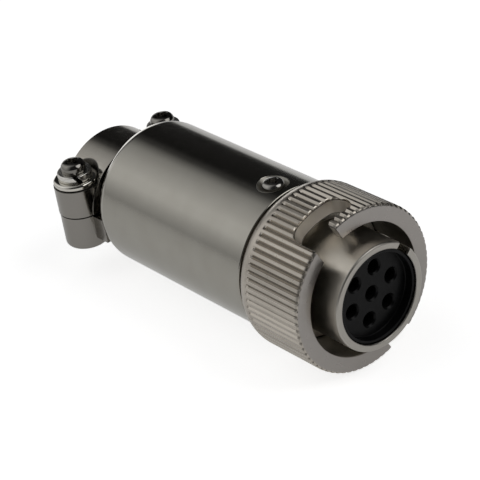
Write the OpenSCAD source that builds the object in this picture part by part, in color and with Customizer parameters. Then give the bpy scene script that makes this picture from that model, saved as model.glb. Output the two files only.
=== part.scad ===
// Circular bayonet cable plug with seven socket contacts.
// Millimetres. X is the mating axis, pointing out of the front, Z is up, and the clamp's ears lie along Y.
// The origin is the centre of the barrel's front rim. Turns about X are counted from +Z towards -Y.

/* [Coupling ring] */
// Outside diameter over the knurl
ring_od = 26; // [25:0.2:29]
// Length of the ring
ring_len = 13.4; // [13:0.2:17]
// Wall of the ring
ring_wall = 2.7; // [2.2:0.1:3]
// Drop of the bevel on the front edge
ring_bevel_drop = 0.6; // [0.2:0.05:0.8]
// Length of the bevel on the front edge
ring_bevel_len = 0.8; // [0.3:0.05:1]
// Length of the rounded rear shoulder
ring_shoulder_len = 2.4; // [2:0.2:4]
// Drop of the rounded rear shoulder
ring_shoulder_drop = 1.2; // [0.6:0.05:1.3]
// Number of knurl grooves
groove_count = 72; // [48:2:84]
// Width of a knurl groove at its brows
groove_w = 0.74; // [0.5:0.02:0.8]
// Width of a knurl groove's floor
groove_floor_w = 0.06; // [0.04:0.02:0.2]
// Depth of a knurl groove
groove_depth = 0.38; // [0.2:0.02:0.42]
// Length of the smooth shoulder behind the grooves
knurl_back = 2.3; // [1.8:0.1:3]
// Turn of the ring, to the middle of the first slot's mouth
ring_turn = 26.5; // [-180:0.5:180]

/* [Bayonet slots] */
// Number of slots
slot_count = 2; // [2:1:3]
// Opening of a slot's mouth, in degrees
mouth_turn = 23; // [18:0.5:26]
// Width of a slot behind its hook
slot_w = 4.3; // [3:0.1:4.8]
// Thickness of the hook in front of a slot
hook_t = 1.6; // [1:0.1:2.2]
// Turn from the mouth to the locked end
lock_turn = 26; // [22:1:45]

/* [Barrel] */
// Space between the coupling ring and the front tube, which takes the shell of the mating half
mate_space = 1.95; // [1.6:0.05:2.2]
// Wall of the front tube
barrel_wall = 1.1; // [0.9:0.05:1.3]
// How far the rim stands in front of the coupling ring
barrel_proud = 3.3; // [2:0.1:4]
// Bevel on the rim's outer edge
rim_bevel = 0.25; // [0.1:0.05:0.4]
// Width of the keyway in the rim
keyway_w = 2.6; // [1.5:0.1:3.5]
// Length of the keyway
keyway_len = 4; // [2:0.5:6]
// Turn of the keyway
keyway_turn = -45; // [-180:1:180]
// Depth of the front bore, to the insulator's shoulder
front_bore_len = 10; // [8:0.5:11]
// Thickness of the collar that guides the coupling ring
collar_t = 1.6; // [1:0.1:2]
// Height of that collar above the journal and the threaded tail
collar_h = 1.22; // [1.1:0.02:1.3]
// Wall of the tail
tail_wall = 1; // [0.8:0.05:1.1]
// How far the tail reaches into the back shell
tail_len = 8; // [7:0.5:11]

/* [Ring retention] */
// Height of the wave spring as fitted
spring_h = 1.4; // [1.2:0.1:1.8]
// Thickness of the spring strip
spring_t = 0.3; // [0.2:0.05:0.4]
// Waves around the spring
spring_waves = 3; // [2:1:5]
// Thickness of the thrust washer
washer_t = 0.5; // [0.3:0.1:0.8]
// Thickness of the lip inside the coupling ring
lip_t = 1.2; // [0.8:0.1:1.6]
// Thickness of the snap ring
snap_t = 0.7; // [0.5:0.1:1]
// Depth of the snap ring's groove
snap_groove = 0.5; // [0.3:0.05:0.6]
// How far the snap ring stands out of its groove
snap_reach = 1.2; // [0.8:0.1:1.2]
// Opening between the snap ring's ends
snap_opening = 4; // [2:0.5:6]

/* [Insulators] */
// Depth of the black face below the rim
face_recess = 1.8; // [1.2:0.1:3]
// Height of the lip around the black face
face_lip_h = 1.4; // [0.6:0.1:1.8]
// Thickness of the lip around the black face
face_lip_t = 0.5; // [0.3:0.1:0.8]
// Thickness of the front insulator's flange
flange_t = 2; // [1.5:0.1:3]
// Length of the rear insulator
rear_insulator_len = 5; // [3:0.5:6]
// Thickness of the insulator nut
nut_t = 2; // [1.5:0.1:3]
// Wall of the insulator nut
nut_wall = 1.2; // [0.8:0.1:2]
// Width of the nut's spanner slots
nut_slot_w = 1.2; // [0.8:0.1:2]

/* [Contacts] */
// Contacts on the outer circle
outer_contacts = 6; // [4:1:6]
// Diameter of the circle of contacts
contact_pcd = 8.2; // [7.8:0.1:8.8]
// Outside diameter of a contact
contact_od = 2.4; // [2:0.1:2.6]
// Bore that takes the mating pin
contact_bore_d = 1.6; // [1:0.1:1.7]
// Depth of that bore
contact_bore_len = 8; // [5:0.5:8.5]
// Length of the spring slits
slit_len = 5; // [3:0.5:7]
// Width of the spring slits
slit_w = 0.3; // [0.2:0.05:0.5]
// Diameter of the entry hole in the black face
entry_d = 2.1; // [1.8:0.1:2.3]
// Bevel around the entry hole
entry_bevel = 0.25; // [0.1:0.05:0.4]
// Thickness of the web behind the black face
entry_web = 2; // [1:0.1:2.2]
// Diameter of the contact's shoulder
shoulder_od = 3.2; // [3:0.1:3.4]
// Thickness of the contact's shoulder
shoulder_t = 1; // [0.6:0.1:1.5]
// Length of the solder cup behind the insulator nut
cup_len = 5; // [3:0.5:6]

/* [Back shell] */
// Outside diameter
shell_od = 23.5; // [22.6:0.1:25]
// Length
shell_len = 35.3; // [30:0.1:45]
// Wall of the wire room
shell_wall = 1.4; // [1:0.1:1.8]
// Gap to the coupling ring
shell_gap = 0.3; // [0.2:0.1:1]
// Bevel on the front end
shell_front_bevel = 0.3; // [0.2:0.05:0.7]
// Bevel on the rear end
shell_rear_bevel = 0.6; // [0.2:0.05:0.8]

/* [Set screw] */
// Distance behind the front edge of the back shell
set_screw_back = 3.9; // [3:0.1:4.5]
// Diameter of the shank
set_screw_d = 2; // [1.6:0.1:2.4]
// Diameter of the head
set_head_d = 3.4; // [3:0.1:3.8]
// Height of the head
set_head_h = 1.3; // [0.9:0.1:1.6]
// Diameter of the conical seat at the top of the back shell
set_seat_d = 5; // [4.6:0.1:5.4]
// Depth of the seat below the top of the back shell
set_seat_depth = 0.8; // [0.5:0.1:1.1]

/* [Cable clamp] */
// Diameter of the cable that the clamp grips
cable_d = 11; // [9:0.2:11]
// Length from the back shell to the rear of the clamp
clamp_len = 12.3; // [11.6:0.1:15]
// Distance from the back shell to the screws
ear_back = 8.2; // [7.8:0.1:8.4]
// Spacing of the two screws
ear_spacing = 18.4; // [18.2:0.1:20]
// Diameter of the saddle's ears
saddle_ear_d = 7.5; // [6.6:0.1:7.6]
// Diameter of the base's ears
base_ear_d = 7.3; // [6:0.1:7.6]
// Height of the ears' top above the axis
ear_top = 3; // [2:0.1:3.6]
// Depth of the ears' foot below the axis
ear_foot = 7.9; // [6.5:0.1:8.4]
// Rounding of the ears' foot
foot_round = 0.8; // [0.4:0.1:1.4]
// Depth of the split below the axis
split_depth = 2; // [1:0.1:2.4]
// Open gap at the split
split_gap = 0.25; // [0.1:0.05:0.6]
// Outer radius of the saddle's arch
saddle_r = 9.8; // [9.4:0.1:10.2]
// Height of the arch above the axis
saddle_h = 6.8; // [6.8:0.1:7.4]
// Length of the saddle along the cable
saddle_len = 8; // [7:0.1:10]
// Wall of the arch
saddle_wall = 1.1; // [0.8:0.1:1.1]
// Wall of the trough under the cable
trough_wall = 1.5; // [1:0.1:1.9]
// Thickness of the ledge beside the trough
ledge_t = 4; // [1.5:0.1:4.4]
// Length of the threaded spigot inside the back shell
spigot_len = 7; // [5:0.5:9]
// Bore of the spigot
spigot_bore_d = 12.4; // [11.6:0.2:14]
// Diameter of the neck behind the back shell
neck_d = 18; // [17:0.2:20]
// Length of the neck
neck_len = 1.7; // [1:0.1:2.4]

/* [Clamp screws] */
// Diameter of the shank
clamp_screw_d = 2.4; // [2:0.1:2.8]
// Length below the head
clamp_screw_len = 11; // [9.5:0.1:12]
// Diameter of the head
clamp_head_d = 4; // [3.6:0.1:4.8]
// Height of the head
clamp_head_h = 1.7; // [1.2:0.1:2]
// Outside diameter of the split lock washers
lock_washer_d = 5.6; // [4.8:0.1:6]
// Thickness of the split lock washers
lock_washer_t = 1.2; // [0.6:0.1:1.4]
// Outside diameter of the flat washers
flat_washer_d = 7.3; // [6.4:0.1:7.4]
// Thickness of the flat washers
flat_washer_t = 1; // [0.5:0.1:1.2]

/* [Clearances] */
// Radial clearance of pieces that turn or slide
run_gap = 0.08; // [0.02:0.01:0.1]
// Radial clearance of pieces that are fixed in each other
seat_gap = 0.05; // [0.02:0.01:0.08]
// Radial clearance of plain screw holes and washers
hole_gap = 0.2; // [0.1:0.05:0.3]
// Radial room around the snap ring
snap_room = 0.3; // [0.1:0.05:0.4]
// Axial clearance of the snap ring beside the coupling ring's lip
side_gap = 0.05; // [0.02:0.01:0.1]
// Axial clearance of the snap ring in its groove
groove_gap = 0.02; // [0.01:0.01:0.04]

/* [Hidden] */
$fn = 96;
over = 1; // how far a cutting tool runs past the piece
split_slant = 35; // slant of the lock washers' split
split_turn = -25; // place of that split around the screw
head_round = 0.45; // share of a screw head's height that is rounded
cross_w = 0.14; // width of a cross recess, as a share of the head's diameter
cross_len = 0.6; // length of a cross recess, as a share of the head's diameter
cup_cut = 0.7; // share of a solder cup's length that is cut away
slot_blend = 0.06; // share by which a slot's round ends are wider than the slot
slot_step = 0.03; // how far a slot's round end stays inside the straight stretch before it

// radii
ring_r = ring_od / 2;
ring_bore_r = ring_r - ring_wall;
barrel_r = ring_bore_r - mate_space;
barrel_bore_r = barrel_r - barrel_wall;
collar_r = ring_bore_r - run_gap;
tail_r = collar_r - collar_h;
tail_bore_r = tail_r - tail_wall;
lip_bore_r = tail_r + run_gap;
snap_bed_r = tail_r - snap_groove;
snap_r = tail_r + snap_reach;
snap_room_r = snap_r + snap_room;
shell_r = shell_od / 2;
shell_bore_r = shell_r - shell_wall;
thread_bore_r = tail_r + seat_gap;
insulator_r = barrel_bore_r - seat_gap;
flange_r = tail_bore_r - seat_gap;
contact_r = contact_od / 2;
contact_hole_r = contact_r + seat_gap;
shoulder_r = shoulder_od / 2;
shoulder_hole_r = shoulder_r + seat_gap;
cable_r = cable_d / 2;
set_bed_r = set_head_d / 2 + hole_gap;
set_brow_r = set_seat_d / 2 + (set_seat_d / 2 - set_bed_r) / set_seat_depth * over;
shoulder_rho = (pow(ring_shoulder_len, 2) + pow(ring_shoulder_drop, 2)) / (2 * ring_shoulder_drop);

// places along X, from the front to the rear
ring_front_x = -barrel_proud;
ring_rear_x = ring_front_x - ring_len;
snap_rear_x = ring_rear_x + side_gap;
snap_front_x = snap_rear_x + snap_t;
lip_rear_x = snap_front_x + side_gap;
lip_front_x = lip_rear_x + lip_t;
washer_front_x = lip_front_x + washer_t;
collar_rear_x = washer_front_x + spring_h;
collar_front_x = collar_rear_x + collar_t;
shell_front_x = ring_rear_x - shell_gap;
tail_rear_x = shell_front_x - tail_len;
shell_rear_x = shell_front_x - shell_len;
set_screw_x = shell_front_x - set_screw_back;
face_x = -face_recess;
socket_front_x = face_x - entry_web - seat_gap;
flange_front_x = -front_bore_len;
insulator_joint_x = flange_front_x - flange_t;
nut_front_x = insulator_joint_x - rear_insulator_len;
nut_rear_x = nut_front_x - nut_t;
cup_rear_x = nut_rear_x - cup_len;
neck_rear_x = shell_rear_x - neck_len;
clamp_rear_x = shell_rear_x - clamp_len;
saddle_front_x = clamp_rear_x + saddle_len;
ear_x = shell_rear_x - ear_back;
slot_x = ring_front_x - hook_t - slot_w / 2;

// heights
set_seat_z = shell_r - set_seat_depth;
base_top_z = -split_depth;
saddle_bottom_z = base_top_z + split_gap;
saddle_centre_z = saddle_h - saddle_r;
lock_seat_z = ear_top + flat_washer_t;
head_seat_z = lock_seat_z + lock_washer_t;

nickel = "#9c958c";
polished = "#a8a49c";
black = "#1b1b1c";
gilt = "#c9a24a";
steel = "#8b8d90";

// Centre of contact i in the YZ plane: number 1 is in the middle, the others go round from the keyway
function contact_at(i) =
    let (turn = keyway_turn + 180 / outer_contacts + (i - 2) * 360 / outer_contacts)
    i == 1 ? [0, 0, 0] : contact_pcd / 2 * [0, -sin(turn), cos(turn)];

// A profile drawn as [radius, x], turned about X
module turned() {
    rotate([0, 90, 0])
        rotate_extrude()
            children();
}

// A rectangle of a turned profile
module band(r_in, r_out, x_rear, x_front) {
    translate([r_in, x_rear])
        square([r_out - r_in, x_front - x_rear]);
}

// A ring or, with no inner radius, a rod about X
module tube(r_in, r_out, x_rear, x_front) {
    turned() band(r_in, r_out, x_rear, x_front);
}

// What is drawn once for each of the two ears
module at_ears() {
    for (side = [-1, 1])
        translate([ear_x, side * ear_spacing / 2, 0])
            children();
}

// A rod with a rounded top edge, standing on z = 0
module rounded_rod(d, h, edge) {
    rotate_extrude() {
        square([d / 2 - edge, h]);
        square([d / 2, h - edge]);
        translate([d / 2 - edge, h - edge])
            intersection() {
                circle(edge);
                square(edge);
            }
    }
}

// A screw head with a cross recess, standing on z = 0
module cross_head(d, h) {
    difference() {
        rounded_rod(d, h, h * head_round);
        for (turn = [0, 90])
            rotate([0, 0, turn])
                translate([-d * cross_len / 2, -d * cross_w / 2, h / 2])
                    cube([d * cross_len, d * cross_w, h]);
    }
}

// A block around X between two turns, reaching past both sides of the ring's wall
module arc_block(turn_from, turn_to, x_rear, x_front, reach) {
    rotate([180 + turn_from, 0, 0])
        rotate([0, 90, 0])
            rotate_extrude(angle = turn_to - turn_from)
                band(ring_bore_r - reach, ring_r + reach, x_rear, x_front);
}

// A round peg through the ring's wall
module radial_peg(turn, x, r) {
    reach = 3 * over;
    rotate([turn, 0, 0])
        translate([x, 0, ring_bore_r - reach])
            cylinder(r = r, h = ring_r - ring_bore_r + 2 * reach);
}

// One bayonet slot, cut along the locking pin's path: in at the mouth, back, and round behind the hook.
// Each block has a reach of its own, so that no two share a curved face.
module bayonet_slot() {
    rear_x = slot_x - slot_w / 2;
    hook_x = slot_x + slot_w / 2;
    half = mouth_turn / 2;
    corner_r = ring_r * sin(half) * (1 + slot_blend);
    corner_x = rear_x + corner_r * (1 - slot_blend);
    end_r = slot_w / 2 * (1 + slot_blend);
    arc_block(-half, half, corner_x, ring_front_x + over, over);
    intersection() {
        arc_block(-half, half, rear_x, corner_x + over, 1.2 * over);
        radial_peg(0, corner_x, corner_r);
    }
    arc_block(-lock_turn, 0, rear_x, hook_x, 1.4 * over);
    intersection() {
        arc_block(-lock_turn - half, -1, rear_x + slot_step, hook_x - slot_step, 1.6 * over);
        radial_peg(-lock_turn, slot_x, end_r);
    }
}

// The ring's section: a bevel in front, a rounded shoulder behind, and a lip inside that bears on the washer
module ring_section() {
    shoulder_x = ring_rear_x + ring_shoulder_len;
    difference() {
        union() {
            polygon([
                [0, shoulder_x],
                [ring_r, shoulder_x],
                [ring_r, ring_front_x - ring_bevel_len],
                [ring_r - ring_bevel_drop, ring_front_x],
                [0, ring_front_x]
            ]);
            intersection() {
                band(0, ring_r, ring_rear_x, shoulder_x);
                translate([ring_r - shoulder_rho, shoulder_x])
                    circle(shoulder_rho);
            }
        }
        band(0, ring_bore_r, lip_front_x, ring_front_x + over);
        band(0, lip_bore_r, ring_rear_x - over, lip_front_x + over);
        band(0, snap_room_r, ring_rear_x - over, lip_rear_x);
    }
}

// A knurl groove at the top of the ring: a V with a narrow floor, open in front and closed behind
module knurl_groove() {
    above = groove_depth / 2;
    slope = (groove_w - groove_floor_w) / 2 / groove_depth;
    brow = groove_w / 2 + slope * above;
    translate([ring_rear_x + knurl_back, 0, ring_r])
        rotate([90, 0, 90])
            linear_extrude(ring_len)
                polygon([
                    [-groove_floor_w / 2, -groove_depth],
                    [groove_floor_w / 2, -groove_depth],
                    [brow, above],
                    [-brow, above]
                ]);
}

module coupling_ring() {
    color(nickel)
        rotate([ring_turn, 0, 0])
            difference() {
                turned() ring_section();
                for (i = [0 : groove_count - 1])
                    rotate([i * 360 / groove_count, 0, 0])
                        knurl_groove();
                for (i = [0 : slot_count - 1])
                    rotate([i * 360 / slot_count, 0, 0])
                        bayonet_slot();
            }
}

module plug_barrel() {
    color(nickel)
        difference() {
            turned()
                difference() {
                    union() {
                        polygon([
                            [0, collar_front_x],
                            [barrel_r, collar_front_x],
                            [barrel_r, -rim_bevel],
                            [barrel_r - rim_bevel, 0],
                            [0, 0]
                        ]);
                        band(0, collar_r, collar_rear_x, collar_front_x);
                        band(0, tail_r, tail_rear_x, collar_rear_x);
                    }
                    band(0, barrel_bore_r, flange_front_x - over, over);
                    band(0, tail_bore_r, tail_rear_x - over, flange_front_x);
                    band(snap_bed_r, tail_r + over, snap_rear_x - groove_gap, snap_front_x + groove_gap);
                }
            rotate([keyway_turn, 0, 0])
                translate([-keyway_len, -keyway_w / 2, barrel_bore_r - over])
                    cube([keyway_len + over, keyway_w, barrel_r - barrel_bore_r + 2 * over]);
        }
}

module front_insulator() {
    color(black)
        difference() {
            turned() {
                band(0, insulator_r, flange_front_x, face_x);
                band(insulator_r - face_lip_t, insulator_r, face_x, face_x + face_lip_h);
                band(0, flange_r, insulator_joint_x, flange_front_x);
            }
            for (i = [1 : outer_contacts + 1])
                translate(contact_at(i))
                    turned() {
                        band(0, entry_d / 2, socket_front_x, face_x + over);
                        polygon([
                            [0, face_x - entry_bevel],
                            [entry_d / 2, face_x - entry_bevel],
                            [entry_d / 2 + entry_bevel, face_x],
                            [0, face_x]
                        ]);
                        band(0, contact_hole_r, insulator_joint_x - over, face_x - entry_web);
                    }
        }
}

module rear_insulator() {
    color(black)
        difference() {
            tube(0, flange_r, nut_front_x, insulator_joint_x);
            for (i = [1 : outer_contacts + 1])
                translate(contact_at(i))
                    turned() {
                        band(0, contact_hole_r, nut_front_x - over, insulator_joint_x + over);
                        band(0, shoulder_hole_r, insulator_joint_x - shoulder_t, insulator_joint_x + over);
                    }
        }
}

module insulator_nut() {
    color(nickel)
        difference() {
            tube(flange_r - nut_wall, flange_r, nut_rear_x, nut_front_x);
            translate([nut_rear_x - over, -flange_r - over, -nut_slot_w / 2])
                cube([nut_t / 2 + over, 2 * (flange_r + over), nut_slot_w]);
        }
}

// A turned socket: slit spring fingers in front, a trapped shoulder, and a cut-away solder cup behind
module contact(i) {
    color(gilt)
        translate(contact_at(i))
            difference() {
                turned()
                    difference() {
                        union() {
                            band(0, contact_r, cup_rear_x, socket_front_x);
                            band(0, shoulder_r, insulator_joint_x - shoulder_t, insulator_joint_x);
                        }
                        band(0, contact_bore_d / 2, socket_front_x - contact_bore_len, socket_front_x + over);
                        band(0, contact_bore_d / 2, cup_rear_x - over, cup_rear_x + cup_len);
                    }
                for (turn = [0, 90])
                    rotate([turn, 0, 0])
                        translate([socket_front_x - slit_len, -slit_w / 2, -contact_r - over])
                            cube([slit_len + over, slit_w, 2 * (contact_r + over)]);
                translate([cup_rear_x - over, -contact_r - over, contact_bore_d / 4])
                    cube([cup_len * cup_cut + over, 2 * (contact_r + over), contact_r + over]);
            }
}

// A strip of flat wire closed to a ring, with its height following a sine around the axis
module wave_spring() {
    steps = 24 * spring_waves;
    r_in = tail_r + 2 * run_gap;
    r_out = ring_bore_r - 2 * run_gap;
    swing = (spring_h - spring_t) / 2;
    middle_x = collar_rear_x - spring_h / 2;
    points = [
        for (i = [0 : steps - 1])
            let (turn = i * 360 / steps, x = middle_x + swing * sin(spring_waves * turn))
                for (corner = [[r_in, -1], [r_out, -1], [r_out, 1], [r_in, 1]])
                    [x + corner[1] * spring_t / 2, -corner[0] * sin(turn), corner[0] * cos(turn)]
    ];
    faces = [
        for (i = [0 : steps - 1])
            for (k = [0 : 3])
                let (a = 4 * i, b = 4 * ((i + 1) % steps), next = (k + 1) % 4)
                    for (face = [[a + k, b + k, b + next], [a + k, b + next, a + next]])
                        face
    ];
    color(steel)
        polyhedron(points, faces);
}

module thrust_washer() {
    color(steel)
        tube(lip_bore_r, ring_bore_r - run_gap, lip_front_x, washer_front_x);
}

module snap_ring() {
    color(steel)
        difference() {
            tube(snap_bed_r + seat_gap, snap_r, snap_rear_x, snap_front_x);
            translate([snap_rear_x - over, -snap_opening / 2, -snap_r - over])
                cube([snap_t + 2 * over, snap_opening, snap_r]);
        }
}

module back_shell() {
    color(polished)
        difference() {
            turned()
                difference() {
                    polygon([
                        [0, shell_front_x],
                        [shell_r - shell_front_bevel, shell_front_x],
                        [shell_r, shell_front_x - shell_front_bevel],
                        [shell_r, shell_rear_x + shell_rear_bevel],
                        [shell_r - shell_rear_bevel, shell_rear_x],
                        [0, shell_rear_x]
                    ]);
                    band(0, thread_bore_r, tail_rear_x - over, shell_front_x + over);
                    band(0, shell_bore_r, shell_rear_x - over, tail_rear_x);
                }
            translate([set_screw_x, 0, 0]) {
                cylinder(d = set_screw_d + 2 * seat_gap, h = shell_r);
                translate([0, 0, set_seat_z])
                    cylinder(r1 = set_bed_r, r2 = set_brow_r, h = set_seat_depth + over);
            }
        }
}

module set_screw() {
    color(steel)
        translate([set_screw_x, 0, 0]) {
            translate([0, 0, tail_r + seat_gap])
                cylinder(d = set_screw_d, h = set_seat_z - tail_r - seat_gap);
            translate([0, 0, set_seat_z])
                cross_head(set_head_d, set_head_h);
        }
}

// Lower clamp half: threaded spigot, neck, trough for the cable, and two tapped ears on a ledge
module clamp_base() {
    ledge_y = sqrt(pow(saddle_r, 2) - pow(base_top_z - saddle_centre_z, 2));
    color(nickel)
        difference() {
            union() {
                tube(spigot_bore_d / 2, shell_bore_r - seat_gap, shell_rear_x, shell_rear_x + spigot_len);
                tube(spigot_bore_d / 2, neck_d / 2, neck_rear_x, shell_rear_x);
                intersection() {
                    union() {
                        tube(0, cable_r + trough_wall, clamp_rear_x, neck_rear_x);
                        translate([clamp_rear_x, -ledge_y, base_top_z - ledge_t])
                            cube([neck_rear_x - clamp_rear_x, 2 * ledge_y, ledge_t]);
                    }
                    translate([clamp_rear_x, -shell_r, base_top_z - shell_od])
                        cube([clamp_len, shell_od, shell_od]);
                }
                at_ears()
                    translate([0, 0, base_top_z])
                        mirror([0, 0, 1])
                            rounded_rod(base_ear_d, base_top_z + ear_foot, foot_round);
            }
            tube(0, cable_r, clamp_rear_x - over, neck_rear_x);
            at_ears()
                translate([0, 0, -ear_foot - over])
                    cylinder(d = clamp_screw_d + 2 * seat_gap, h = ear_foot + over);
        }
}

// Upper clamp half: an arch with an ear on each side, spot-faced for the washers
module clamp_saddle() {
    color(nickel)
        difference() {
            union() {
                intersection() {
                    translate([0, 0, saddle_centre_z])
                        tube(saddle_r - saddle_wall, saddle_r, clamp_rear_x, saddle_front_x);
                    translate([clamp_rear_x, -shell_r, saddle_bottom_z])
                        cube([clamp_len, shell_od, shell_od]);
                }
                at_ears()
                    translate([0, 0, saddle_bottom_z])
                        cylinder(d = saddle_ear_d, h = ear_top - saddle_bottom_z);
            }
            at_ears() {
                translate([0, 0, ear_top])
                    cylinder(d = flat_washer_d + 2 * hole_gap, h = shell_r);
                translate([0, 0, saddle_bottom_z - over])
                    cylinder(d = clamp_screw_d + 2 * hole_gap, h = shell_r);
            }
        }
}

module clamp_screws() {
    color(steel)
        at_ears()
            translate([0, 0, head_seat_z]) {
                cross_head(clamp_head_d, clamp_head_h);
                translate([0, 0, -clamp_screw_len])
                    cylinder(d = clamp_screw_d, h = clamp_screw_len);
            }
}

module lock_washers() {
    split_w = lock_washer_t / 3;
    color(steel)
        at_ears()
            translate([0, 0, lock_seat_z])
                difference() {
                    cylinder(d = lock_washer_d, h = lock_washer_t);
                    translate([0, 0, -over])
                        cylinder(d = clamp_screw_d + 2 * hole_gap, h = lock_washer_t + 2 * over);
                    rotate([0, 0, split_turn])
                        translate([clamp_screw_d, 0, lock_washer_t / 2])
                            rotate([split_slant, 0, 0])
                                cube([lock_washer_d, split_w, 3 * lock_washer_t], center = true);
                }
}

module flat_washers() {
    color(polished)
        at_ears()
            translate([0, 0, ear_top])
                difference() {
                    cylinder(d = flat_washer_d, h = flat_washer_t);
                    translate([0, 0, -over])
                        cylinder(d = clamp_screw_d + 2 * hole_gap, h = flat_washer_t + 2 * over);
                }
}

coupling_ring();
plug_barrel();
front_insulator();
rear_insulator();
insulator_nut();
contact(1);  // contact_1
contact(2);  // contact_2
contact(3);  // contact_3
contact(4);  // contact_4
contact(5);  // contact_5
contact(6);  // contact_6
contact(7);  // contact_7
wave_spring();
thrust_washer();
snap_ring();
back_shell();
set_screw();
clamp_base();
clamp_saddle();
clamp_screws();
lock_washers();
flat_washers();
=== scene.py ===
import math

import bmesh
import bpy
from mathutils import Matrix, Vector


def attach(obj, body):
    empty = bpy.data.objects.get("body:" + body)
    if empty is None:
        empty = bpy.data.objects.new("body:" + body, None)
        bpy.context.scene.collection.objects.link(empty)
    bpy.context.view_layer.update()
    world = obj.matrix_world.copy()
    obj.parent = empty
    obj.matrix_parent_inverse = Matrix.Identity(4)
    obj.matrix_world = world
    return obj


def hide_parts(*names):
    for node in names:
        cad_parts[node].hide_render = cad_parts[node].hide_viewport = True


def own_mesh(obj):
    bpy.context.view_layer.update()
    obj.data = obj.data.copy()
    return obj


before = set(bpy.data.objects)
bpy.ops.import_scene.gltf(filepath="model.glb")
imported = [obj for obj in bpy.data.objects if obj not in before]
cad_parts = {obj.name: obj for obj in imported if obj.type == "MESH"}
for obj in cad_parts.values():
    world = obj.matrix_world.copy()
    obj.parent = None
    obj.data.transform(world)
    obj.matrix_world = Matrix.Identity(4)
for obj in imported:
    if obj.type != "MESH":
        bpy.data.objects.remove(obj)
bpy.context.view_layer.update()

# Plug barrel: the inner shell that enters the mating half, with a keyway in its rim, a collar that guides
# the coupling ring and a tail for the back shell. Turned from brass bar, the keyway milled, then plated with
# satin nickel.
mm = 0.001


def maths(tree, kind, *values):
    """A sum of a node tree: the values are numbers or other nodes' outputs."""
    node = tree.nodes.new("ShaderNodeMath")
    node.operation = kind
    for socket, value in zip(node.inputs, values):
        if isinstance(value, (int, float)):
            socket.default_value = value
        else:
            tree.links.new(value, socket)
    return node.outputs[0]


def product(tree, first, *others):
    """Values of a node tree multiplied together."""
    for other in others:
        first = maths(tree, "MULTIPLY", first, other)
    return first


def diagonal(tree, a, b):
    """The length of a step by a and by b at right angles."""
    return maths(tree, "SQRT", maths(tree, "ADD", maths(tree, "POWER", a, 2), maths(tree, "POWER", b, 2)))


def split(tree, vector):
    """The X, Y and Z of a vector of the node tree."""
    node = tree.nodes.new("ShaderNodeSeparateXYZ")
    tree.links.new(vector, node.inputs[0])
    return node.outputs


def cloud(tree, where, size, detail=3.0):
    """A noise of about that size in metres, from 0 to 1."""
    node = tree.nodes.new("ShaderNodeTexNoise")
    node.inputs["Scale"].default_value = 1 / size
    node.inputs["Detail"].default_value = detail
    tree.links.new(where, node.inputs["Vector"])
    return node.outputs["Fac"]


def between(tree, factor, low, high, start=0.3, end=0.7):
    """A value that goes from low to high while the factor goes from start to end."""
    node = tree.nodes.new("ShaderNodeMapRange")
    tree.links.new(factor, node.inputs["Value"])
    for label, value in (("From Min", start), ("From Max", end), ("To Min", low), ("To Max", high)):
        node.inputs[label].default_value = value
    return node.outputs["Result"]


def tints(tree, factor, first, second):
    """A colour that goes from the first to the second with the factor."""
    node = tree.nodes.new("ShaderNodeMix")
    node.data_type = "RGBA"
    tree.links.new(factor, node.inputs["Factor"])
    colours = [socket for socket in node.inputs if socket.type == "RGBA"]
    for socket, colour in zip(colours, (first, second)):
        if isinstance(colour, bpy.types.NodeSocket):
            tree.links.new(colour, socket)
        else:
            socket.default_value = (*colour, 1)
    return next(socket for socket in node.outputs if socket.type == "RGBA")


def relief(tree, height, depth, under=None):
    """The normal of a surface that is this deep, in metres, where height is 1, on top of another relief."""
    node = tree.nodes.new("ShaderNodeBump")
    node.inputs["Distance"].default_value = depth
    tree.links.new(height, node.inputs["Height"])
    if under:
        tree.links.new(under, node.inputs["Normal"])
    return node.outputs["Normal"]


def around_axis(tree, where):
    """Coordinates that are the same all round the X axis: place along it and distance from it."""
    place = split(tree, where)
    join = tree.nodes.new("ShaderNodeCombineXYZ")
    tree.links.new(place["X"], join.inputs["X"])
    tree.links.new(diagonal(tree, place["Y"], place["Z"]), join.inputs["Y"])
    return join.outputs[0]


def zone(inner, outer, rear, front, soft=0.01):
    """A mask of the faces between two distances from the X axis and two places along it, in millimetres."""
    def mask(tree, where):
        place = split(tree, around_axis(tree, where))
        away, along = place["Y"], place["X"]
        return product(
            tree,
            between(tree, away, 0, 1, (inner - soft) * mm, (inner + soft) * mm),
            between(tree, away, 1, 0, (outer - soft) * mm, (outer + soft) * mm),
            between(tree, along, 0, 1, (rear - soft) * mm, (rear + soft) * mm),
            between(tree, along, 1, 0, (front - soft) * mm, (front + soft) * mm),
        )
    return mask


def plated(name, light, dark, gloss, grain, marks=0, zones=()):
    """Nickel plate: two tints that it wanders between, its lowest and highest roughness, and the depth in
    metres of its fine grain and of the turning marks around the axis. Zones are faces with another finish or
    with painted light or shade: their mask, how much rougher they are and their tint, if it differs."""
    material = bpy.data.materials.new(name)
    material.use_nodes = True
    tree = material.node_tree
    shader = tree.nodes["Principled BSDF"]
    shader.inputs["Metallic"].default_value = 1
    where = tree.nodes.new("ShaderNodeTexCoord").outputs["Object"]
    patches = cloud(tree, where, 4 * mm)
    colour = tints(tree, between(tree, patches, 0, 1), light, dark)
    smears = cloud(tree, where, 1.1 * mm, 5)
    rough = between(tree, smears, *gloss)
    for mask, rougher, tint in zones:
        inside = mask(tree, where)
        rough = maths(tree, "ADD", rough, product(tree, inside, rougher))
        if tint:
            colour = tints(tree, inside, colour, tint)
    tree.links.new(colour, shader.inputs["Base Color"])
    tree.links.new(rough, shader.inputs["Roughness"])
    normal = relief(tree, cloud(tree, where, 0.3 * mm, 2), grain)
    if marks:
        normal = relief(tree, cloud(tree, around_axis(tree, where), 0.22 * mm, 2), marks, normal)
    tree.links.new(normal, shader.inputs["Normal"])
    return material


def coat(piece, material):
    """The piece in one finish all over."""
    piece.data.materials.clear()
    piece.data.materials.append(material)


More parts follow.
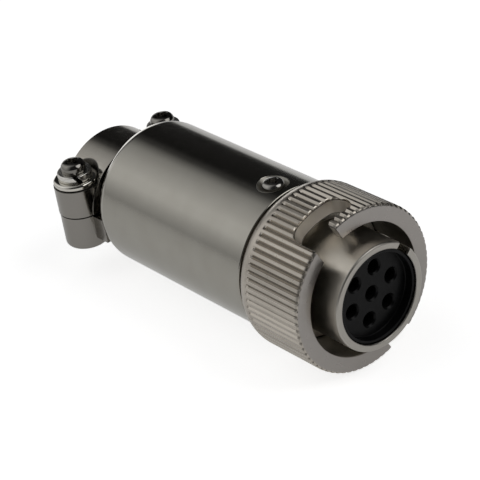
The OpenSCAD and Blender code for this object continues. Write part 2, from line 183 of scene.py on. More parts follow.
def rounded(outline, steps):
    """Corners [x, radius, rounding] in millimetres as points, with an arc in place of a rounded corner."""
    points = []
    for i, (x, r, size) in enumerate(outline):
        corner = Vector((x, r))
        if not size:
            points.append(corner)
            continue
        back = (Vector(outline[i - 1][:2]) - corner).normalized()
        on = (Vector(outline[(i + 1) % len(outline)][:2]) - corner).normalized()
        half = back.angle(on) / 2
        centre = corner + (back + on).normalized() * size / math.sin(half)
        start = corner + back * size / math.tan(half) - centre
        end = corner + on * size / math.tan(half) - centre
        first = math.atan2(start.y, start.x)
        sweep = (math.atan2(end.y, end.x) - first + math.pi) % (2 * math.pi) - math.pi
        for k in range(steps + 1):
            turn = first + sweep * k / steps
            points.append(centre + size * Vector((math.cos(turn), math.sin(turn))))
    return points


def piece_of(name, shape):
    """An object in the scene with the shape's mesh."""
    mesh = bpy.data.meshes.new(name)
    shape.to_mesh(mesh)
    shape.free()
    piece = bpy.data.objects.new(name, mesh)
    bpy.context.scene.collection.objects.link(piece)
    return piece


def turned(name, outline, sides=160, steps=4):
    """A closed piece turned about X from its outline of corners [x, radius, rounding] in millimetres."""
    rows = rounded(outline, steps)
    shape = bmesh.new()
    rings = []
    for k in range(sides):
        turn = 2 * math.pi * k / sides
        rings.append([
            shape.verts.new((p.x * mm, -p.y * mm * math.sin(turn), p.y * mm * math.cos(turn))) for p in rows
        ])
    for k in range(sides):
        near, far = rings[k], rings[(k + 1) % sides]
        for i in range(len(rows)):
            j = (i + 1) % len(rows)
            if rows[i].y or rows[j].y:
                shape.faces.new((near[i], near[j], far[j], far[i]))
    bmesh.ops.remove_doubles(shape, verts=shape.verts, dist=0.0001 * mm)
    bmesh.ops.recalc_face_normals(shape, faces=shape.faces)
    return piece_of(name, shape)


def block(name, low, high, turn=0):
    """A cutting block between two corners in millimetres, turned about X from +Z towards -Y."""
    shape = bmesh.new()
    bmesh.ops.create_cube(shape, size=1)
    size = Vector(high) - Vector(low)
    bmesh.ops.scale(shape, verts=shape.verts, vec=size * mm)
    bmesh.ops.translate(shape, verts=shape.verts, vec=(Vector(low) + size / 2) * mm)
    bmesh.ops.rotate(shape, verts=shape.verts, matrix=Matrix.Rotation(math.radians(turn), 3, "X"))
    return piece_of(name, shape)


def settle(piece):
    """The piece's modifiers carried out on its mesh and removed."""
    depsgraph = bpy.context.evaluated_depsgraph_get()
    mesh = bpy.data.meshes.new_from_object(piece.evaluated_get(depsgraph))
    piece.modifiers.clear()
    old = piece.data
    piece.data = mesh
    bpy.data.meshes.remove(old)


def cut(piece, *tools, kind="DIFFERENCE"):
    """The tools' shapes taken out of the piece, or joined to it, or what they share with it, by kind."""
    for tool in tools:
        step = piece.modifiers.new("cut", "BOOLEAN")
        step.operation = kind
        step.solver = "EXACT"
        step.object = tool
    settle(piece)
    for tool in tools:
        bpy.data.objects.remove(tool)


def ease(piece, width=0, sharp=35):
    """Broken edges of that width in millimetres, and smooth faces between edges sharper than an angle."""
    if width:
        step = piece.modifiers.new("edges", "BEVEL")
        step.width = width * mm
        step.segments = 2
        step.limit_method = "ANGLE"
        step.angle_limit = math.radians(40)
        settle(piece)
    piece.data.shade_smooth()
    piece.data.set_sharp_from_angle(angle=math.radians(sharp))
    flat = piece.modifiers.new("flat_faces", "WEIGHTED_NORMAL")
    flat.keep_sharp = True


barrel = turned("barrel", [
    (0, 8.35, 0.3), (-11.2, 8.35, 0.1), (-11.2, 10.22, 0.15), (-12.8, 10.22, 0.15), (-12.8, 9.0, 0.05),
    (-15.93, 9.0, 0.03), (-15.93, 8.5, 0.03), (-16.67, 8.5, 0.03), (-16.67, 9.0, 0.03),
    (-25.0, 9.0, 0.3), (-25.0, 8.0, 0.1), (-10.0, 8.0, 0.05), (-10.0, 7.25, 0.05), (0, 7.25, 0.22),
])
cut(barrel, block("keyway", (-4, -1.3, 6.5), (1, 1.3, 9.5), -45))
ease(barrel)
turned_nickel = {
    "light": (0.37, 0.355, 0.315), "dark": (0.33, 0.31, 0.275), "gloss": (0.2, 0.3), "grain": 0.2e-6,
    "marks": 0.5e-6,
}
# Outer side: a much paler tint than the plate, painted light that brightens the barrel seen past the ring.
# Rim: a little rougher.
barrel_side_painted_light = (zone(8.2, 20, -30, -0.3), 0.1, (0.6, 0.56, 0.49))
barrel_rim = (zone(7, 8.5, -0.3, 1), 0.1, (0.4, 0.38, 0.345))
coat(barrel, plated("barrel_nickel", **turned_nickel, zones=[barrel_side_painted_light, barrel_rim]))
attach(barrel, "plug")
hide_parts("plug_barrel")

# Insulators: the black face with its seven entry holes inside a thin lip, and the disc behind it that traps
# the contacts. Moulded from a dark filled plastic, matt, and pressed home by the nickel-plated ring nut in
# the barrel's tail.
def new_tree(name, inputs):
    """An empty Geometry Nodes tree with a mesh going in and out, and these named inputs."""
    tree = bpy.data.node_groups.new(name, "GeometryNodeTree")
    tree.interface.new_socket("Mesh", in_out="OUTPUT", socket_type="NodeSocketGeometry")
    tree.interface.new_socket("Mesh", in_out="INPUT", socket_type="NodeSocketGeometry")
    for label, kind in inputs.items():
        tree.interface.new_socket(label, in_out="INPUT", socket_type="NodeSocket" + kind)
    given = tree.nodes.new("NodeGroupInput").outputs
    result = tree.nodes.new("NodeGroupOutput").inputs["Mesh"]
    return tree, given, result


def node(tree, kind, links, **settings):
    """A node of the tree with its settings and inputs: each input is a number or another node's output."""
    made = tree.nodes.new(kind)
    for label, value in settings.items():
        setattr(made, label, value)
    for label, value in links.items():
        socket = made.inputs[label]
        if isinstance(value, bpy.types.NodeSocket):
            tree.links.new(value, socket)
        else:
            socket.default_value = value
    return made.outputs


def copies(tree, thing, count, spot):
    """That many copies of an object, each at its own spot."""
    points = node(tree, "GeometryNodePoints", {"Count": count, "Position": spot})[0]
    source = node(tree, "GeometryNodeObjectInfo", {"Object": thing})["Geometry"]
    return node(tree, "GeometryNodeInstanceOnPoints", {"Points": points, "Instance": source})[0]


def hand_out(tree, shape, finish, result):
    """The tree's end: the shape as one plain mesh in its finish."""
    whole = node(tree, "GeometryNodeRealizeInstances", {"Geometry": shape})[0]
    finished = node(tree, "GeometryNodeSetMaterial", {"Geometry": whole, "Material": finish})[0]
    tree.links.new(finished, result)


def grow(piece, tree, values):
    """The piece's mesh replaced by what the tree makes of it with these named values."""
    step = piece.modifiers.new(tree.name, "NODES")
    step.node_group = tree
    for item in tree.interface.items_tree:
        if item.in_out == "INPUT" and item.name in values:
            step[item.identifier] = values[item.name]
    settle(piece)


pattern, given, result = new_tree("contact_pattern", {
    "Contact": "Object", "Contacts": "Int", "Circle radius": "Float", "First turn": "Float",
    "Finish": "Material",
})
index = node(pattern, "GeometryNodeInputIndex", {})[0]
outer = maths(pattern, "SUBTRACT", given["Contacts"], 1)
step_turn = maths(pattern, "DIVIDE", 2 * math.pi, outer)
turn = maths(pattern, "ADD", given["First turn"], product(pattern, index, step_turn))
on_circle = maths(pattern, "LESS_THAN", index, maths(pattern, "SUBTRACT", outer, 0.5))
reach = product(pattern, given["Circle radius"], on_circle)
spot = node(pattern, "ShaderNodeCombineXYZ", {
    "Y": product(pattern, reach, -1, maths(pattern, "SINE", turn)),
    "Z": product(pattern, reach, maths(pattern, "COSINE", turn)),
})[0]
hand_out(pattern, copies(pattern, given["Contact"], given["Contacts"], spot), given["Finish"], result)

black_insulator = bpy.data.materials.new("black_insulator")
black_insulator.use_nodes = True
tree = black_insulator.node_tree
shader = tree.nodes["Principled BSDF"]
shader.inputs["Specular IOR Level"].default_value = 0.12
where = tree.nodes.new("ShaderNodeTexCoord").outputs["Object"]
fill = between(tree, cloud(tree, where, 0.5 * mm, 4), 0, 1)
black = tints(tree, fill, (0.003, 0.003, 0.0033), (0.0048, 0.0048, 0.0051))
tree.links.new(black, shader.inputs["Base Color"])
tree.links.new(between(tree, cloud(tree, where, 0.9 * mm), 0.3, 0.42), shader.inputs["Roughness"])
tree.links.new(relief(tree, cloud(tree, where, 0.2 * mm, 2), 1e-6), shader.inputs["Normal"])

contact_places = {"Contacts": 7, "Circle radius": 4.1 * mm, "First turn": math.radians(-15)}
hole_tool = turned("hole_tool", [
    (0, 0, 0), (0, 1.4, 0), (-1.8, 1.3, 0), (-2.05, 1.05, 0), (-3.8, 1.05, 0), (-3.8, 1.25, 0),
    (-13, 1.25, 0), (-13, 0, 0),
], 48)
hole_tools = piece_of("hole_tools", bmesh.new())
grow(hole_tools, pattern, {**contact_places, "Contact": hole_tool, "Finish": black_insulator})
bpy.data.objects.remove(hole_tool)
front_insulator = turned("insulator_face", [
    (-0.4, 7.2, 0.12), (-10.0, 7.2, 0), (-10.0, 7.95, 0.1), (-12.0, 7.95, 0.1), (-12.0, 0, 0), (-1.8, 0, 0),
    (-1.8, 6.7, 0.15), (-0.4, 6.7, 0.12),
], 128)
cut(front_insulator, hole_tools)
ease(front_insulator)
coat(front_insulator, black_insulator)
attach(front_insulator, "plug")
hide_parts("front_insulator")

# The rear disc and the nut keep their CAD shapes.
coat(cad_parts["rear_insulator"], black_insulator)
coat(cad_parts["insulator_nut"], plated("satin_nickel", **turned_nickel))


# Socket contacts: seven turned sockets with slit spring fingers in front and cut-away solder cups behind.
# Brass with a thin gilt plate, trapped by their shoulders between the two insulators.
def cad_copy(cad_name, name):
    """A CAD solid's own shape as one merged mesh, each flat face in one piece."""
    shape = bmesh.new()
    shape.from_mesh(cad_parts[cad_name].data)
    bmesh.ops.remove_doubles(shape, verts=shape.verts, dist=0.001 * mm)
    bmesh.ops.dissolve_limit(shape, angle_limit=math.radians(0.5), verts=shape.verts, edges=shape.edges)
    return piece_of(name, shape)


gilt_contact = plated(
    "gilt_contact", light=(0.5, 0.36, 0.14), dark=(0.4, 0.28, 0.1), gloss=(0.25, 0.4), grain=0.3e-6,
    marks=0.4e-6)
one_contact = cad_copy("contact_1", "one_contact")
ease(one_contact, 0.04)
settle(one_contact)
contacts = piece_of("contacts", bmesh.new())
grow(contacts, pattern, {**contact_places, "Contact": one_contact, "Finish": gilt_contact})
bpy.data.objects.remove(one_contact)
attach(contacts, "plug")
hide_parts(*["contact_%d" % i for i in range(1, 8)])

# Wave spring, thrust washer and snap ring: what draws the coupling ring back and keeps it on the barrel.
# Rolled spring strip, stamped washer and an open retaining ring, all bright steel. The spring flattens
# against the barrel's collar when the ring is pushed.
spring_steel = plated(
    "spring_steel", light=(0.34, 0.34, 0.345), dark=(0.28, 0.28, 0.29), gloss=(0.2, 0.36), grain=0.5e-6,
    marks=0.6e-6)
spring = cad_copy("wave_spring", "wave_spring_strip")
ease(spring)
settle(spring)
coat(spring, spring_steel)
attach(spring, "plug")
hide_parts("wave_spring")
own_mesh(spring)
coat(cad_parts["thrust_washer"], spring_steel)
coat(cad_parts["snap_ring"], spring_steel)

# Coupling ring: the hand ring with straight knurling, a rounded shoulder behind and two bayonet slots
# through its wall. Turned and knurled brass with milled slots, satin nickel plated, running on the barrel's
# collar. The tree wraps the ring's outline round the axis, with seven rows of points to each groove.
knurl, given, result = new_tree("knurled_ring", {
    "Grooves": "Int", "Groove width": "Float", "Groove depth": "Float", "Groove floor": "Float",
    "Groove end": "Float", "Run-out": "Float", "Edge": "Float", "Ring radius": "Float",
    "First turn": "Float", "Finish": "Material",
})
places = 7
count = node(knurl, "GeometryNodeAttributeDomainSize", {"Geometry": given["Mesh"]})["Point Count"]
columns = maths(knurl, "ADD", product(knurl, given["Grooves"], places), 1)
sheet = node(knurl, "GeometryNodeMeshGrid", {
    "Vertices X": maths(knurl, "ADD", count, 1), "Vertices Y": columns, "Size X": 1.0, "Size Y": 1.0,
})["Mesh"]
index = node(knurl, "GeometryNodeInputIndex", {})[0]
row = maths(knurl, "FLOOR", maths(knurl, "DIVIDE", maths(knurl, "ADD", index, 0.5), columns))
column = maths(knurl, "SUBTRACT", index, product(knurl, row, columns))
groove = maths(knurl, "FLOOR", maths(knurl, "DIVIDE", maths(knurl, "ADD", column, 0.5), places))
place = maths(knurl, "SUBTRACT", column, product(knurl, groove, places))
half = product(knurl, given["Groove width"], 0.5)
outside = maths(knurl, "ADD", half, given["Edge"])
inside = maths(knurl, "SUBTRACT", half, given["Edge"])
bed = product(knurl, given["Groove floor"], 0.5)
pitch = maths(knurl, "DIVIDE", product(knurl, given["Ring radius"], 2 * math.pi), given["Grooves"])
side = [
    product(knurl, pitch, -0.5), product(knurl, outside, -1), product(knurl, inside, -1),
    product(knurl, bed, -1), bed, inside, outside,
]
slope = maths(knurl, "DIVIDE", given["Groove depth"], maths(knurl, "SUBTRACT", half, bed))
brow = product(knurl, given["Edge"], slope)
drop = [0.0, 0.0, brow, given["Groove depth"], given["Groove depth"], brow, 0.0]


def chosen(values):
    """The value that belongs to this column's place in its groove."""
    made = knurl.nodes.new("GeometryNodeIndexSwitch")
    made.data_type = "FLOAT"
    while len(made.index_switch_items) < len(values):
        made.index_switch_items.new()
    knurl.links.new(place, made.inputs["Index"])
    for socket, value in zip(list(made.inputs)[1:], values):
        if isinstance(value, float):
            socket.default_value = value
        else:
            knurl.links.new(value, socket)
    return made.outputs[0]


arc = maths(knurl, "ADD", product(knurl, groove, pitch), chosen(side))
turn = maths(knurl, "ADD", given["First turn"], maths(knurl, "DIVIDE", arc, given["Ring radius"]))
corner = split(knurl, node(knurl, "GeometryNodeSampleIndex", {
    "Geometry": given["Mesh"], "Value": node(knurl, "GeometryNodeInputPosition", {})[0],
    "Index": maths(knurl, "MODULO", row, count),
}, data_type="FLOAT_VECTOR")[0])
run = maths(knurl, "DIVIDE", maths(knurl, "SUBTRACT", corner["X"], given["Groove end"]), given["Run-out"])
knurled = maths(knurl, "MINIMUM", 1, maths(knurl, "MAXIMUM", 0, run))
bottom = maths(knurl, "SUBTRACT", given["Ring radius"], product(knurl, chosen(drop), knurled))
away = maths(knurl, "MINIMUM", corner["Y"], bottom)
spot = node(knurl, "ShaderNodeCombineXYZ", {
    "X": corner["X"],
    "Y": product(knurl, away, -1, maths(knurl, "SINE", turn)),
    "Z": product(knurl, away, maths(knurl, "COSINE", turn)),
})[0]
wrapped = node(knurl, "GeometryNodeSetPosition", {"Geometry": sheet, "Position": spot})[0]
closed = node(knurl, "GeometryNodeMergeByDistance", {"Geometry": wrapped, "Distance": 0.001 * mm})[0]
hand_out(knurl, closed, given["Finish"], result)


def falling_arc(x, r, length, drop, steps):
    """Corners of an arc that leaves a cylinder's end backwards, over that length and drop in millimetres."""
    rho = (length ** 2 + drop ** 2) / (2 * drop)
    backs = [length * k / steps for k in range(1, steps + 1)]
    return [(x - back, r - rho + math.sqrt(rho ** 2 - back ** 2), 0) for back in backs]


ring_r = 13
ring_turn = 26.5
shoulder = falling_arc(-14.3, ring_r, 2.4, 1.2, 14)
ring_outline = bmesh.new()
for p in rounded([
    (-3.3, 10.3, 0.12), (-3.3, ring_r, 0.65), (-8.0, ring_r, 0), (-13.95, ring_r, 0), (-14.05, ring_r, 0),
    (-14.3, ring_r, 0), *shoulder[:-1], (*shoulder[-1][:2], 0.1), (-16.7, 10.5, 0.1), (-15.9, 10.5, 0),
    (-15.9, 9.08, 0.1), (-14.7, 9.08, 0.1), (-14.7, 10.3, 0),
], 6):
    ring_outline.verts.new((p.x * mm, p.y * mm, 0))
ring = piece_of("coupling_ring_knurled", ring_outline)
# Slot walls: rougher as milled, and a paler tint that is painted light.
slot_walls_painted_light = (zone(10.4, 12.5, -15, -3.6), 0.25, (0.72, 0.67, 0.6))
# Bore: a dark tint that is painted shade inside the ring.
ring_bore_painted_shade = (zone(9, 10.4, -16, -3.45), 0.1, (0.16, 0.15, 0.13))
groove_flanks = (zone(12.5, 12.93, -14.5, -3.7, 0.03), -0.12, (0.425, 0.391, 0.345))
# Groove floors: a dark tint that is painted shade at the bottom of each groove.
groove_floors_painted_shade = (zone(12.5, 12.67, -14.5, -3.7, 0.02), 0.1, (0.17, 0.157, 0.138))
# Notches where the grooves open at the front edge: a dark tint that is painted shade.
groove_mouths_painted_shade = (zone(12.45, 12.86, -4, -3.55, 0.05), 0.1, (0.2, 0.185, 0.165))
# Front face: a darker tint than the plate, painted shade.
ring_face_painted_shade = (zone(10.2, 12.7, -3.4, 1), 0, (0.335, 0.314, 0.295))
ring_nickel = plated(
    "ring_nickel", light=(0.475, 0.437, 0.385), dark=(0.42, 0.386, 0.338), gloss=(0.26, 0.36), grain=0.4e-6,
    zones=[slot_walls_painted_light, ring_bore_painted_shade, groove_flanks, groove_floors_painted_shade, groove_mouths_painted_shade, ring_face_painted_shade])
grow(ring, knurl, {
    "Grooves": 72, "Groove width": 0.7 * mm, "Groove depth": 0.38 * mm, "Groove floor": 0.06 * mm,
    "Groove end": -14.55 * mm, "Run-out": 0.5 * mm, "Edge": 0.025 * mm, "Ring radius": ring_r * mm,
    "First turn": math.radians(ring_turn), "Finish": ring_nickel,
})
shape = bmesh.new()
shape.from_mesh(ring.data)
bmesh.ops.recalc_face_normals(shape, faces=shape.faces)
shape.to_mesh(ring.data)
shape.free()


def slot_tool(name, turn):
    """The path of an end mill through the ring's wall: in at the mouth, back, and round behind the hook.
    The mouth's walls are parallel, and a bevel breaks the edge along the slot's rear side."""
    cutter = 2.15
    mouth = ring_r * math.asin(cutter / ring_r)
    end = ring_r * math.radians(36)
    path = rounded([
        (-2, mouth + 0.8, 0), (-3.2, mouth + 0.25, 0), (-3.5, mouth + 0.07, 0), (-3.9, mouth, 0),
        (-9.2, mouth, 2.1), (-9.2, -end, 2.1), (-4.9, -end, 2.1), (-4.9, -mouth, 0.1), (-2, -mouth, 0),
    ], 10)
    dense = []
    for i, p in enumerate(path):
        on = path[(i + 1) % len(path)]
        parts = max(1, math.ceil((on - p).length / 0.4))
        dense += [p.lerp(on, k / parts) for k in range(parts)]
    shape = bmesh.new()
    rims = []
    for r, flare in ((9.4, 0), (12.88, 0), (13.05, 0.17), (14, 0.17)):
        rims.append([])
        widen = math.asin(cutter / r) - math.asin(cutter / ring_r)
        for i, p in enumerate(dense):
            on = dense[(i + 1) % len(dense)] - dense[i - 1]
            wide = flare * min(1, max(0, -7.2 - p.x)) / on.length
            x, y = p.x + on.y * wide, p.y - on.x * wide
            angle = math.radians(turn) + y / ring_r + widen * max(-1, min(1, y / mouth))
            spot = (x * mm, -r * mm * math.sin(angle), r * mm * math.cos(angle))
            rims[-1].append(shape.verts.new(spot))
    for rim in (rims[0], rims[-1]):
        edges = [shape.edges.new((rim[i - 1], rim[i])) for i in range(len(rim))]
        bmesh.ops.triangle_fill(shape, edges=edges, use_beauty=True)
    for low, high in zip(rims, rims[1:]):
        for i in range(len(dense)):
            shape.faces.new((low[i - 1], low[i], high[i], high[i - 1]))
    bmesh.ops.recalc_face_normals(shape, faces=shape.faces)
    return piece_of(name, shape)


cut(ring, slot_tool("upper_slot", ring_turn), slot_tool("lower_slot", ring_turn + 180))
coat(ring, ring_nickel)
ease(ring, sharp=20)
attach(ring, "coupling_ring")
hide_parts("coupling_ring")

# Back shell: the smooth tube over the wires, screwed on the barrel's tail and locked by one small screw in a
# conical seat. Turned brass, buffed and nickel plated to a soft mirror, the seat left as it was milled.
def near(place, reach):
    """A mask of the faces nearer to a place than that reach, in millimetres."""
    def mask(tree, where):
        apart = tree.nodes.new("ShaderNodeVectorMath")
        apart.operation = "DISTANCE"
        tree.links.new(where, apart.inputs[0])
        apart.inputs[1].default_value = Vector(place) * mm
        return maths(tree, "LESS_THAN", apart.outputs["Value"], reach * mm)
    return mask


def upright(piece):
    """A piece turned about X stood up, so that its X points along +Z."""
    piece.data.transform(Matrix.Rotation(math.radians(-90), 4, "Y"))
    return piece


def set_at(piece, x, y, z):
    """A piece moved to its place, in millimetres."""
    piece.data.transform(Matrix.Translation(Vector((x, y, z)) * mm))
    return piece


shell_r = 11.75
shell_end_x = -50.3
seat_x = -20.9
seat_z = 10.95
shell = turned("back_shell_tube", [
    (-17.0, 11.2, 0.1), (-17.35, 11.2, 0.05), (-17.35, shell_r, 0.25), (shell_end_x, shell_r, 0),
    *falling_arc(shell_end_x, shell_r, 2, 1, 14), (-52.3, 10.35, 0.1), (-25.0, 10.35, 0), (-25.0, 9.05, 0),
    (-17.0, 9.05, 0.1),
], 192, 6)
seat = upright(turned("seat", [(0, 0, 0), (0, 1.9, 0.1), (1.8, 3.25, 0), (1.8, 0, 0)], 64))
screw_hole = upright(turned("screw_hole", [(0, 0, 0), (0, 1.05, 0), (5, 1.05, 0), (5, 0, 0)], 32))
cut(shell, set_at(seat, seat_x, 0, seat_z), set_at(screw_hole, seat_x, 0, 7))
ease(shell)
milled_seat = (near((seat_x, 0, seat_z), 2.58), 0.3, None)
# Rear edge: a paler tint that is a painted highlight of the bright floor it mirrors.
rear_edge_highlight = (zone(10, 12, -53, -50.9, 0.4), 0, (0.52, 0.5, 0.46))
coat(shell, plated(
    "polished_nickel", light=(0.345, 0.333, 0.298), dark=(0.325, 0.311, 0.276), gloss=(0.1, 0.15),
    grain=0.12e-6, zones=[milled_seat, rear_edge_highlight]))
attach(shell, "plug")
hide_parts("back_shell")

# Set screw: a small pan-head screw with a cross recess that locks the back shell. Steel, headed and rolled,
# with a bright plate. The tree narrows a plain shank into its thread.
screw_steel = plated(
    "screw_steel", light=(0.31, 0.3, 0.28), dark=(0.25, 0.24, 0.225), gloss=(0.14, 0.24), grain=0.2e-6)
thread, given, result = new_tree("rolled_thread", {
    "Pitch": "Float", "Depth": "Float", "Shank radius": "Float", "Top": "Float", "Finish": "Material",
})
place = split(thread, node(thread, "GeometryNodeInputPosition", {})[0])
turn = maths(thread, "DIVIDE", maths(thread, "ARCTAN2", place["Y"], place["X"]), 2 * math.pi)
rise = maths(thread, "SUBTRACT", maths(thread, "DIVIDE", place["Z"], given["Pitch"]), turn)
flank = maths(thread, "PINGPONG", product(thread, rise, 2), 1)
away = diagonal(thread, place["X"], place["Y"])
below = maths(thread, "LESS_THAN", place["Z"], given["Top"])
outside = maths(thread, "GREATER_THAN", away, product(thread, given["Shank radius"], 0.5))
on_shank = product(thread, below, outside)
bite = maths(thread, "DIVIDE", product(thread, flank, given["Depth"], on_shank), given["Shank radius"])
narrower = maths(thread, "SUBTRACT", 1, bite)
spot = node(thread, "ShaderNodeCombineXYZ", {
    "X": product(thread, place["X"], narrower), "Y": product(thread, place["Y"], narrower), "Z": place["Z"],
})[0]
rolled = node(thread, "GeometryNodeSetPosition", {"Geometry": given["Mesh"], "Position": spot})[0]
hand_out(thread, rolled, given["Finish"], result)


def cross_screw(name, head_d, head_h, shank_d, shank_len, pitch):
    """A screw standing on z = 0 with a rounded flat head, a tapered cross recess and a rolled thread."""
    r, shank_r = head_d / 2, shank_d / 2
    steps = round(shank_len / pitch * 8)
    screw = upright(turned(name, [
        (head_h, 0, 0), (head_h - 0.04 * r, r * 0.5, 0), (head_h - 0.1 * r, r * 0.82, 0.3 * r),
        (head_h * 0.55, r, 0.25 * r), (0, r, 0.08), (0, shank_r, 0),
        *[(-shank_len * k / steps, shank_r, 0) for k in range(1, steps)],
        (-shank_len, shank_r - 0.2, 0), (-shank_len, 0, 0),
    ], 64))
    grow(screw, thread, {
        "Pitch": pitch * mm, "Depth": 0.6 * pitch * mm, "Shank radius": shank_r * mm,
        "Top": -0.6 * pitch * mm, "Finish": screw_steel,
    })
    arm, wide = head_d * 0.3, head_d * 0.085
    tools = []
    for turn in (0, 90):
        shape = bmesh.new()
        bmesh.ops.create_cube(shape, size=2)
        for v in shape.verts:
            low = v.co.z < 0
            x = v.co.x * arm * (0.5 if low else 1.2)
            y = v.co.y * wide * (0.75 if low else 1.1)
            v.co = Vector((x, y, head_h * 0.3 if low else head_h * 1.2)) * mm
        bmesh.ops.rotate(shape, verts=shape.verts, matrix=Matrix.Rotation(math.radians(turn + 5), 3, "Z"))
        tools.append(piece_of("recess", shape))
    cut(screw, *tools)
    return screw


set_screw = cross_screw("set_screw_head", head_d=3.4, head_h=1.3, shank_d=2, shank_len=1.85, pitch=0.4)
set_at(set_screw, seat_x, 0, seat_z)
ease(set_screw)
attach(set_screw, "plug")
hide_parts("set_screw")

# Clamp base and saddle: the two halves that grip the cable, the base with its threaded spigot and tapped
# ears, the saddle an arch with spot-faced ears. Pressure die cast and barrel polished, satin nickel plated.
# Under the arch, a thin web closes each pocket milled for a washer.
ear_x = -60.5
ear_spacing = 18.4
ear_y = ear_spacing / 2


def ears(tree, where):
    """A mask of the clamp's ears, which stand out along Y, where the plate gets a darker tint that is
    painted shade.
    """
    across = maths(tree, "ABSOLUTE", split(tree, where)["Y"])
    return between(tree, across, 0, 1, 5.5 * mm, 7.5 * mm)


def spot_face_shade(tree, where):
    """A mask of the pockets milled into the arch above the ears, around each screw, where a near-black tint
    is painted shade.
    """
    place = split(tree, where)
    along = maths(tree, "SUBTRACT", place["X"], ear_x * mm)
    across = maths(tree, "SUBTRACT", maths(tree, "ABSOLUTE", place["Y"]), ear_y * mm)
    inside = between(tree, diagonal(tree, along, across), 1, 0, 3.95 * mm, 4 * mm)
    return product(tree, inside, maths(tree, "GREATER_THAN", place["Z"], 2.9 * mm))


# The ears get a darker tint that is painted shade, and the milled pockets a rougher finish with a near-black
# tint that is painted shade.
clamp_nickel = plated(
    "clamp_nickel", light=(0.37, 0.352, 0.315), dark=(0.33, 0.31, 0.275), gloss=(0.09, 0.15), grain=0.3e-6,
    zones=[(ears, 0.04, (0.265, 0.252, 0.231)), (spot_face_shade, 0.3, (0.13, 0.124, 0.113))])
base = cad_copy("clamp_base", "clamp_base_cast")
ease(base, 0.12)
coat(base, clamp_nickel)
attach(base, "plug")
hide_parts("clamp_base")

saddle = cad_copy("clamp_saddle", "clamp_saddle_cast")
ease(saddle, 0.12)
arch_r = 9.2
arch_z = -3
for side in (-1, 1):
    web = upright(turned("web", [
        (2.5, 3.5, 0), (2.5, 4.15, 0), (4.2, 4.15, 0), (4.2, 3.9, 0), (2.95, 3.9, 0), (2.95, 3.5, 0),
    ], 96))
    under_arch = turned("under_arch", [(-50, 0, 0), (-50, arch_r, 0), (-70, arch_r, 0), (-70, 0, 0)], 128)
    cut(set_at(web, ear_x, side * ear_y, 0), set_at(under_arch, 0, 0, arch_z), kind="INTERSECT")
    cut(saddle, web, kind="UNION")
ease(saddle)
coat(saddle, clamp_nickel)
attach(saddle, "clamp_saddle")
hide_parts("clamp_saddle")

# Clamp screws and their washers: on each ear a pan-head screw over a split lock washer and a plain washer.
# Rolled and stamped steel with a bright plate; the lock washers are coiled from square wire.
pair, given, result = new_tree("pair_on_ears", {
    "Fastener": "Object", "Spacing": "Float", "Along": "Float", "Height": "Float", "Finish": "Material",
})
index = node(pair, "GeometryNodeInputIndex", {})[0]
across = product(pair, given["Spacing"], maths(pair, "SUBTRACT", index, 0.5))
spot = node(pair, "ShaderNodeCombineXYZ", {"X": given["Along"], "Y": across, "Z": given["Height"]})[0]
hand_out(pair, copies(pair, given["Fastener"], 2, spot), given["Finish"], result)


def on_ears(name, fastener, height, finish, cad_name):
    """The fastener set on both ears at that height, in place of the CAD's solids."""
    both = piece_of(name, bmesh.new())
    grow(both, pair, {
        "Fastener": fastener, "Spacing": ear_spacing * mm, "Along": ear_x * mm, "Height": height * mm,
        "Finish": finish,
    })
    bpy.data.objects.remove(fastener)
    ease(both)
    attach(both, "clamp_saddle")
    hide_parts(cad_name)


bright_nickel = plated(
    "bright_nickel", light=(0.62, 0.6, 0.55), dark=(0.56, 0.54, 0.49), gloss=(0.05, 0.09), grain=0.12e-6)
flat_washer = upright(turned("flat_washer", [
    (0, 3.65, 0.35), (1, 3.65, 0.45), (1, 1.4, 0.1), (0, 1.4, 0.1),
], 96, 6))
on_ears("flat_washer_pair", flat_washer, 3, bright_nickel, "flat_washers")

washer_steel = plated(
    "washer_steel", light=(0.7, 0.685, 0.645), dark=(0.62, 0.605, 0.57), gloss=(0.2, 0.3), grain=0.3e-6)
wire_h = 1.2
wire = rounded([(0, 2.8, 0.15), (wire_h, 2.8, 0.2), (wire_h, 1.4, 0.1), (0, 1.4, 0.1)], 3)
gap, shear, steps = 8.2, 17, 72
coil = bmesh.new()
rims = []
for k in range(steps + 1):
    rims.append([])
    for p in wire:
        angle = math.radians(-25 + gap + (360 - 2 * gap) * k / steps - shear * (p.x / wire_h - 0.5))
        rims[-1].append(coil.verts.new((p.y * mm * math.cos(angle), p.y * mm * math.sin(angle), p.x * mm)))
for k in range(steps):
    for i in range(len(wire)):
        coil.faces.new((rims[k][i - 1], rims[k][i], rims[k + 1][i], rims[k + 1][i - 1]))
coil.faces.new(rims[0])
coil.faces.new(rims[-1])
bmesh.ops.recalc_face_normals(coil, faces=coil.faces)
on_ears("lock_washer_pair", piece_of("lock_washer", coil), 4, washer_steel, "lock_washers")

dark_steel = plated(
    "dark_steel", light=(0.24, 0.23, 0.21), dark=(0.19, 0.182, 0.168), gloss=(0.1, 0.18), grain=0.2e-6)
clamp_screw = cross_screw("clamp_screw", head_d=4, head_h=1.7, shank_d=2.4, shank_len=11, pitch=0.45)
on_ears("clamp_screw_pair", clamp_screw, 5.2, dark_steel, "clamp_screws")

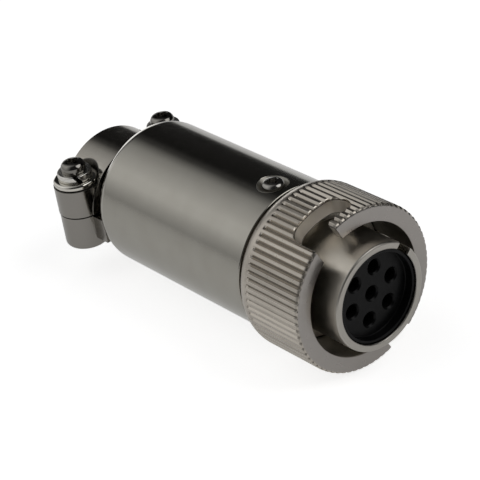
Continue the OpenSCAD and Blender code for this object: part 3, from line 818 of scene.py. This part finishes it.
# Studio: a plain pale floor, a dark ceiling with one broad soft light at the left, a pale wall low at the
# back, and the camera at the photograph's angle. The floor shows white to the camera, keeps a faint shadow
# and is brightest to mirrored rays behind the object.
floor_shape = bmesh.new()
bmesh.ops.create_grid(floor_shape, x_segments=1, y_segments=1, size=3)
bmesh.ops.translate(floor_shape, verts=floor_shape.verts, vec=(0, 0, -13.05 * mm))
floor = piece_of("floor", floor_shape)
pale = bpy.data.materials.new("pale_floor")
pale.use_nodes = True
tree = pale.node_tree
shader = tree.nodes["Principled BSDF"]
shader.inputs["Base Color"].default_value = (0.8, 0.8, 0.8, 1)
shader.inputs["Roughness"].default_value = 0.9
shader.inputs["Specular IOR Level"].default_value = 0
shader.inputs["Emission Color"].default_value = (1, 1, 1, 1)
to_camera = 0.75
to_mirrors = 0.36
more_behind = 0.64
spot = split(tree, tree.nodes.new("ShaderNodeTexCoord").outputs["Object"])
behind = maths(tree, "ADD", spot["Y"], product(tree, spot["X"], 0.63))
sweep = product(tree, between(tree, behind, 1, 0, -0.045, -0.025), between(tree, spot["Y"], 0, 1, 0, 0.02))
path = tree.nodes.new("ShaderNodeLightPath").outputs
mirrored = maths(tree, "MAXIMUM", path["Is Glossy Ray"], path["Is Transmission Ray"])
shown = product(tree, mirrored, maths(tree, "ADD", to_mirrors, product(tree, sweep, more_behind)))
glow = maths(tree, "ADD", product(tree, path["Is Camera Ray"], to_camera), shown)
tree.links.new(glow, shader.inputs["Emission Strength"])
coat(floor, pale)

world = bpy.data.worlds.new("studio")
bpy.context.scene.world = world
world.use_nodes = True
tree = world.node_tree
room = tree.nodes["Background"]
room.inputs["Color"].default_value = (1, 1, 1, 1)
towards = split(tree, tree.nodes.new("ShaderNodeTexCoord").outputs["Generated"])
turn = maths(tree, "ARCTAN2", product(tree, towards["Y"], -1), towards["Z"])
ramp = tree.nodes.new("ShaderNodeValToRGB")
tree.links.new(maths(tree, "ADD", maths(tree, "DIVIDE", turn, 2 * math.pi), 0.5), ramp.inputs[0])
levels = [
    (-94, 0.5), (-90, 0.2), (-85, 0.06), (-76, 0.025), (-30, 0.018), (-18, 0.08), (-2, 0.48), (14, 0.68),
    (40, 0.95), (56, 0.93), (72, 0.66), (86, 0.47), (92, 0.6),
]
while len(ramp.color_ramp.elements) < len(levels):
    ramp.color_ramp.elements.new(0.5)
for element, (degrees, level) in zip(ramp.color_ramp.elements, levels):
    element.position = degrees / 360 + 0.5
    element.color = (level, level, level, 1)
overhead = product(tree, ramp.outputs["Color"], between(tree, towards["X"], 1, 0.04, -0.3, 0.35))
rear_wall = product(
    tree,
    between(tree, towards["X"], 1.6, 0, -0.83, -0.77),
    between(tree, towards["Y"], 0, 1, 0.1, 0.25),
    between(tree, towards["Z"], 1, 0, 0.1, 0.3),
)
tree.links.new(maths(tree, "ADD", overhead, rear_wall), room.inputs["Strength"])
white = tree.nodes.new("ShaderNodeBackground")
white.inputs["Color"].default_value = (1, 1, 1, 1)
either = tree.nodes.new("ShaderNodeMixShader")
tree.links.new(tree.nodes.new("ShaderNodeLightPath").outputs["Is Camera Ray"], either.inputs[0])
tree.links.new(room.outputs[0], either.inputs[1])
tree.links.new(white.outputs[0], either.inputs[2])
tree.links.new(either.outputs[0], tree.nodes["World Output"].inputs["Surface"])

panel_data = bpy.data.lights.new("soft_panel", "AREA")
panel_data.shape = "DISK"
panel_data.size = 0.55
panel_data.energy = 1.4
panel = bpy.data.objects.new("soft_panel", panel_data)
bpy.context.scene.collection.objects.link(panel)
panel_place = Vector((0.38, 0.27, 0.5))
panel_aim = (-panel_place).to_track_quat("-Z", "Y").to_matrix().to_4x4()
panel.matrix_world = Matrix.Translation(panel_place) @ panel_aim

camera_data = bpy.data.cameras.new("camera")
camera_data.sensor_width = 36
camera_data.lens = 146.683
camera_data.clip_start = 0.01
camera = bpy.data.objects.new("camera", camera_data)
bpy.context.scene.collection.objects.link(camera)
eye = Vector((178.847, -149.399, 152.187)) * mm
ahead = Vector((-0.69983659, 0.49697298, -0.51307563)).to_track_quat("-Z", "Y").to_matrix().to_4x4()
lean = Matrix.Rotation(math.radians(-9.7624), 4, "Z")
camera.matrix_world = Matrix.Translation(eye) @ ahead @ lean
bpy.context.scene.camera = camera
bpy.context.scene.view_settings.view_transform = "Standard"
